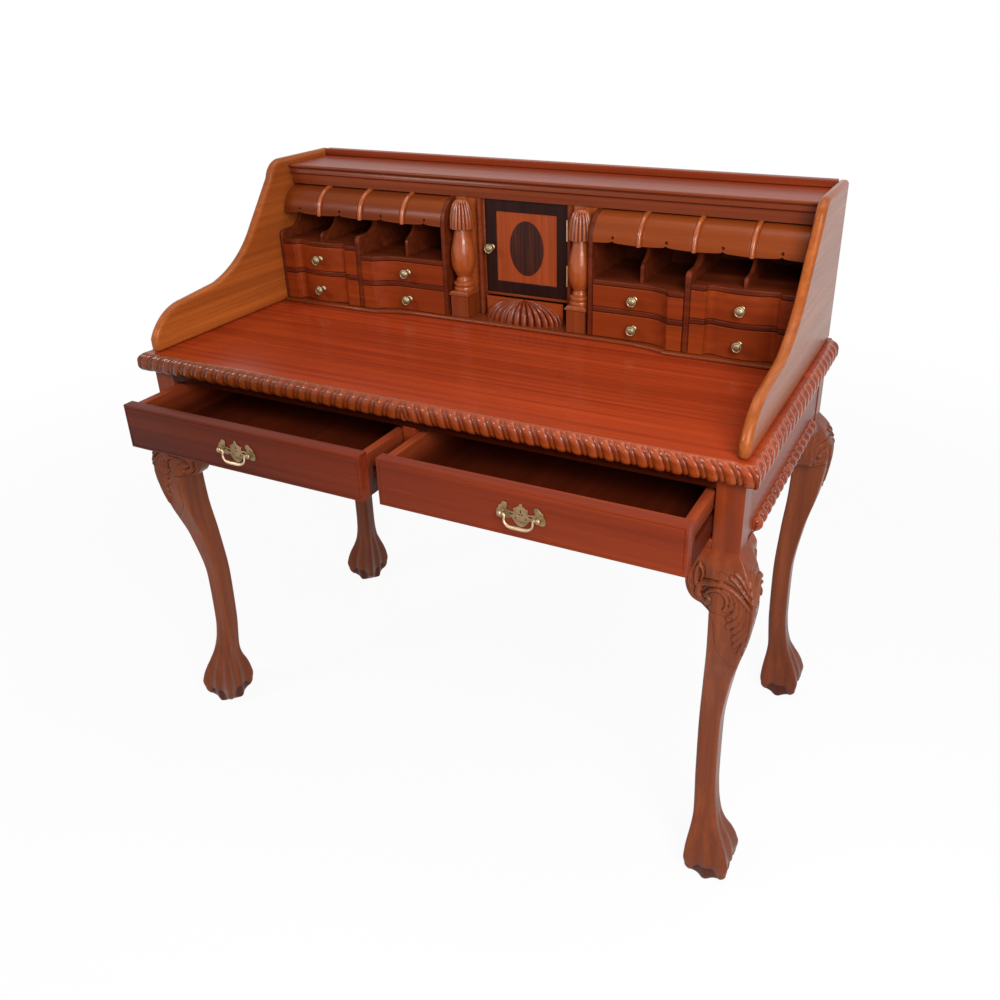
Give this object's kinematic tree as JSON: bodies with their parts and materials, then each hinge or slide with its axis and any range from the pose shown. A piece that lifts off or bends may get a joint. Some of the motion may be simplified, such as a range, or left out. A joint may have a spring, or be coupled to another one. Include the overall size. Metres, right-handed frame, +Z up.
{
  "type": "writing desk",
  "caption": "Lady's writing desk on cabriole legs with claw feet, long drawers under a gadrooned top, and a superstructure of pigeonholes, small drawers, a cupboard door and turned columns.",
  "frame": {"origin": "on the floor, under the middle of the desk's bounding box as it stands with both long drawers partly drawn", "axes": "+X to the user's right, +Y away from the user, +Z up"},
  "size_m": [1.138, 0.7052, 1.0545],
  "materials": {
    "mahogany_leg": "french polished",
    "mahogany_frame": "french polished",
    "mahogany_carved": "french polished",
    "oak_inner": "plain, waxed",
    "mahogany_top": "french polished",
    "mahogany_side": "french polished",
    "mahogany_inner": "french polished",
    "mahogany_dark": "french polished",
    "mahogany_light": "french polished",
    "rosewood_frame": "french polished",
    "mahogany_panel": "french polished",
    "oval_veneer": "french polished",
    "mahogany_column": "french polished",
    "mahogany_front": "french polished",
    "mahogany_small": "french polished",
    "brass_knob": "polished",
    "brass_hinge": "polished",
    "brass_plate": "polished",
    "brass_bail": "polished"
  },
  "bodies": {
    "desk": {"apron_gadroons": "mahogany_carved", "back_apron": "mahogany_frame", "bay_boards": "mahogany_inner", "centre_stile": "mahogany_frame", "cornice": "mahogany_dark", "door_jambs": "mahogany_dark", "door_sill": "mahogany_dark", "drawer_runners": "oak_inner", "front_rails": "mahogany_frame", "gallery_rail": "mahogany_frame", "hinge_fixed_leaves": "brass_hinge", "knee_brackets": "mahogany_leg", "leg_back_left": "mahogany_leg", "leg_back_right": "mahogany_leg", "leg_front_left": "mahogany_leg", "leg_front_right": "mahogany_leg", "main_dividers": "mahogany_inner", "pigeonhole_dividers": "mahogany_inner", "plinth": "mahogany_dark", "shell_carving": "mahogany_carved", "side_aprons": "mahogany_frame", "tall_partitions": "mahogany_inner", "top_gadroon": "mahogany_carved", "top_shelf": "mahogany_frame", "upper_back": "mahogany_inner", "upper_side_left": "mahogany_side", "upper_side_right": "mahogany_side", "valances": "mahogany_light", "writing_top": "mahogany_top"},
    "door": {"door_frame": "rosewood_frame", "door_panel": "mahogany_panel", "door_oval": "oval_veneer", "door_knob": "brass_knob", "hinge_door_leaves": "brass_hinge"},
    "document_left": {"document_slide_left": "mahogany_column"},
    "document_right": {"document_slide_right": "mahogany_column"},
    "long_drawer_left": {"long_drawer_front_left": "mahogany_front", "long_drawer_box_left": "oak_inner", "handle_plate_left": "brass_plate"},
    "bail_left": {"bail_left": "brass_bail"},
    "small_inner_low_left": {"drawer_inner_low_left": "mahogany_small", "knob_inner_low_left": "brass_knob"},
    "small_inner_high_left": {"drawer_inner_high_left": "mahogany_small", "knob_inner_high_left": "brass_knob"},
    "small_outer_low_left": {"drawer_outer_low_left": "mahogany_small", "knob_outer_low_left": "brass_knob"},
    "small_outer_high_left": {"drawer_outer_high_left": "mahogany_small", "knob_outer_high_left": "brass_knob"},
    "long_drawer_right": {"long_drawer_front_right": "mahogany_front", "long_drawer_box_right": "oak_inner", "handle_plate_right": "brass_plate"},
    "bail_right": {"bail_right": "brass_bail"},
    "small_inner_low_right": {"drawer_inner_low_right": "mahogany_small", "knob_inner_low_right": "brass_knob"},
    "small_inner_high_right": {"drawer_inner_high_right": "mahogany_small", "knob_inner_high_right": "brass_knob"},
    "small_outer_low_right": {"drawer_outer_low_right": "mahogany_small", "knob_outer_low_right": "brass_knob"},
    "small_outer_high_right": {"drawer_outer_high_right": "mahogany_small", "knob_outer_high_right": "brass_knob"}
  },
  "joints": [
    {"name": "long_drawer_left_slide", "type": "slide", "parent": "desk", "child": "long_drawer_left", "axis": [0, -1, 0], "range_m": [-0.117, 0.2]},
    {"name": "bail_left_swing", "type": "hinge", "parent": "long_drawer_left", "child": "bail_left", "pos_m": [-0.25375, -0.34668, 0.692], "axis": [-1, 0, 0], "range_deg": [0, 75]},
    {"name": "small_inner_low_left_slide", "type": "slide", "parent": "desk", "child": "small_inner_low_left", "axis": [0, -1, 0], "range_m": [0, 0.11]},
    {"name": "small_inner_high_left_slide", "type": "slide", "parent": "desk", "child": "small_inner_high_left", "axis": [0, -1, 0], "range_m": [0, 0.11]},
    {"name": "small_outer_low_left_slide", "type": "slide", "parent": "desk", "child": "small_outer_low_left", "axis": [0, -1, 0], "range_m": [0, 0.11]},
    {"name": "small_outer_high_left_slide", "type": "slide", "parent": "desk", "child": "small_outer_high_left", "axis": [0, -1, 0], "range_m": [0, 0.11]},
    {"name": "long_drawer_right_slide", "type": "slide", "parent": "desk", "child": "long_drawer_right", "axis": [0, -1, 0], "range_m": [-0.112, 0.2]},
    {"name": "bail_right_swing", "type": "hinge", "parent": "long_drawer_right", "child": "bail_right", "pos_m": [0.25375, -0.34168, 0.692], "axis": [-1, 0, 0], "range_deg": [0, 75]},
    {"name": "small_inner_low_right_slide", "type": "slide", "parent": "desk", "child": "small_inner_low_right", "axis": [0, -1, 0], "range_m": [0, 0.11]},
    {"name": "small_inner_high_right_slide", "type": "slide", "parent": "desk", "child": "small_inner_high_right", "axis": [0, -1, 0], "range_m": [0, 0.11]},
    {"name": "small_outer_low_right_slide", "type": "slide", "parent": "desk", "child": "small_outer_low_right", "axis": [0, -1, 0], "range_m": [0, 0.11]},
    {"name": "small_outer_high_right_slide", "type": "slide", "parent": "desk", "child": "small_outer_high_right", "axis": [0, -1, 0], "range_m": [0, 0.11]},
    {"name": "door_swing", "type": "hinge", "parent": "desk", "child": "door", "pos_m": [0.084, 0.19798, 0.8315], "axis": [0, 0, 1], "range_deg": [0, 95]},
    {"name": "document_left_slide", "type": "slide", "parent": "desk", "child": "document_left", "axis": [0, -1, 0], "range_m": [0, 0.08]},
    {"name": "document_right_slide", "type": "slide", "parent": "desk", "child": "document_right", "axis": [0, -1, 0], "range_m": [0, 0.08]}
  ]
}
